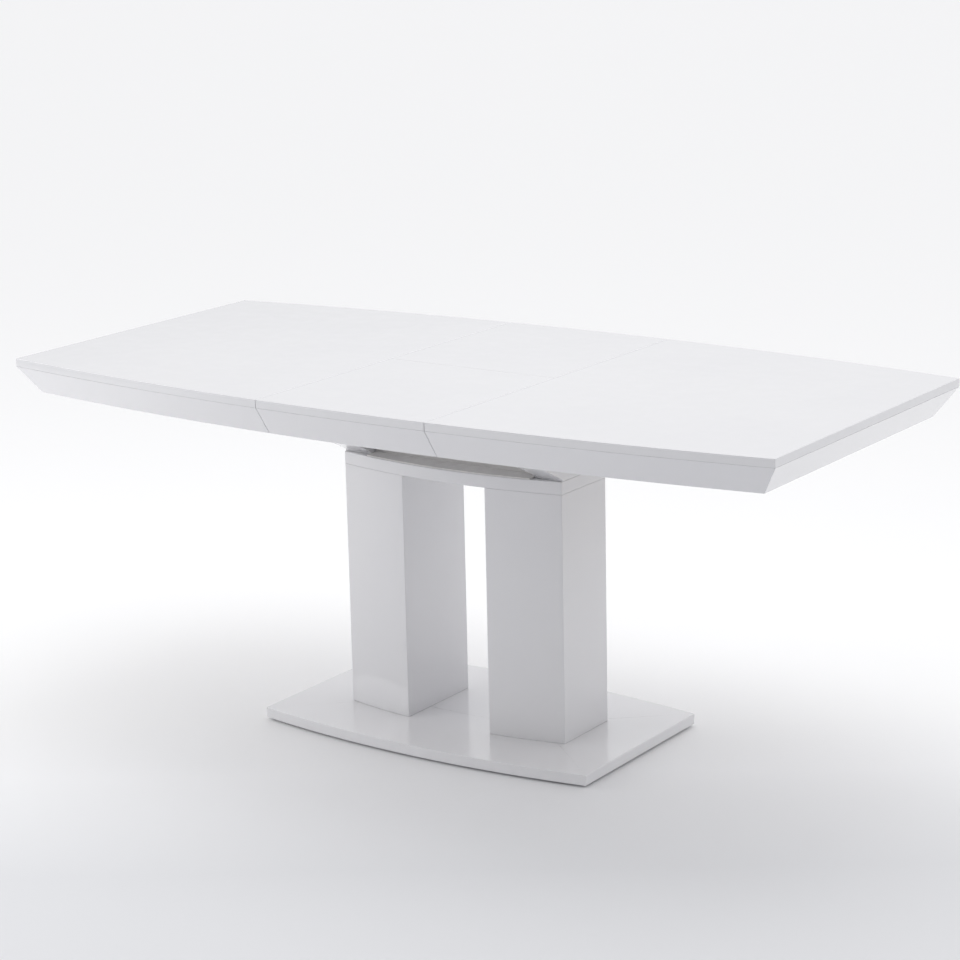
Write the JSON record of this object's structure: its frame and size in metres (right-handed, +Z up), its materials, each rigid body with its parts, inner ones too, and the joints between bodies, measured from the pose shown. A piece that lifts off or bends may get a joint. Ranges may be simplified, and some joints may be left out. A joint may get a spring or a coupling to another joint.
{
  "type": "extendable dining table",
  "caption": "Boat-shaped extendable dining table with bevelled skirts, twin columns on a bowed foot plate, geared sliding halves and a folding leaf that swings into a bay.",
  "frame": {"origin": "floor level under the middle of the table", "axes": "+X along the table's length, +Y to the back, +Z up"},
  "size_m": [1.8, 0.902, 0.76],
  "materials": {
    "white_lacquer": "high gloss",
    "raw_wood": "raw particle board",
    "steel": "zinc plated",
    "taupe_metal": "satin",
    "taupe_felt": "felt",
    "nylon": "satin"
  },
  "bodies": {
    "pedestal": {"base_plate": "white_lacquer", "floor_glides": "nylon", "left_column": "white_lacquer", "right_column": "white_lacquer", "left_foot_block": "raw_wood", "right_foot_block": "raw_wood", "left_head_block": "raw_wood", "right_head_block": "raw_wood", "tie_rods": "steel", "tie_rod_nuts": "steel", "saddle_plate": "white_lacquer", "saddle_screws": "steel", "left_bearer": "white_lacquer", "right_bearer": "white_lacquer", "bearer_screws": "steel", "bearer_strips": "nylon", "bay_liner": "taupe_felt", "front_guide": "taupe_metal", "back_guide": "taupe_metal", "guide_screws": "steel", "pinion_pin": "steel", "arm_pivots": "steel"},
    "pinion": {"drive_pinion": "nylon"},
    "left_half": {"left_top": "white_lacquer", "left_front_skirt": "white_lacquer", "left_back_skirt": "white_lacquer", "left_end_skirt": "white_lacquer", "left_inner_rail": "raw_wood", "left_outer_rail": "raw_wood", "left_front_runner": "steel", "left_back_runner": "steel", "left_rack": "nylon", "left_rail_brackets": "steel", "left_rail_screws": "steel"},
    "right_half": {"right_top": "white_lacquer", "right_front_skirt": "white_lacquer", "right_back_skirt": "white_lacquer", "right_end_skirt": "white_lacquer", "right_inner_rail": "raw_wood", "right_outer_rail": "raw_wood", "right_front_runner": "steel", "right_back_runner": "steel", "right_rack": "nylon", "right_rail_brackets": "steel", "right_rail_screws": "steel"},
    "front_arms": {"front_swing_arms": "steel", "front_arm_rod": "steel"},
    "back_arms": {"back_swing_arms": "steel", "back_arm_rod": "steel"},
    "leaf_back": {"leaf_back_top": "white_lacquer", "leaf_back_skirt": "white_lacquer", "leaf_brackets": "steel", "leaf_hinges_back": "steel"},
    "leaf_front": {"leaf_front_top": "white_lacquer", "leaf_front_skirt": "white_lacquer", "leaf_hinges_front": "steel"}
  },
  "joints": [
    {"name": "right_slide", "type": "slide", "parent": "pedestal", "child": "right_half", "axis": [1, 0, 0], "range_m": [0, 0.025]},
    {"name": "left_slide", "type": "slide", "parent": "pedestal", "child": "left_half", "axis": [-1, 0, 0], "range_m": [0, 0.025]},
    {"name": "pinion_spin", "type": "hinge", "parent": "pedestal", "child": "pinion", "pos_m": [0, 0, 0.609], "axis": [0, 0, 1], "range_deg": [0, 104]},
    {"name": "leaf_swing", "type": "hinge", "parent": "pedestal", "child": "front_arms", "pos_m": [0, -0.04404, 0.63291], "axis": [1, 0, 0], "range_deg": [0, 123.1]},
    {"name": "back_arm_swing", "type": "hinge", "parent": "pedestal", "child": "back_arms", "pos_m": [0, 0.11596, 0.63291], "axis": [1, 0, 0], "range_deg": [0, 123.1]},
    {"name": "leaf_level", "type": "hinge", "parent": "front_arms", "child": "leaf_back", "pos_m": [0, 0.03, 0.735], "axis": [1, 0, 0], "range_deg": [-123.1, 0]},
    {"name": "leaf_fold", "type": "hinge", "parent": "leaf_back", "child": "leaf_front", "pos_m": [0, 0, 0.7605], "axis": [-1, 0, 0], "range_deg": [0, 180]}
  ],
  "couplings": [
    {"joint": "left_slide", "follows": "right_slide", "ratio": 1},
    {"joint": "pinion_spin", "follows": "right_slide", "rad_per_m": 71.429},
    {"joint": "back_arm_swing", "follows": "leaf_swing", "ratio": 1},
    {"joint": "leaf_level", "follows": "leaf_swing", "ratio": -1}
  ]
}
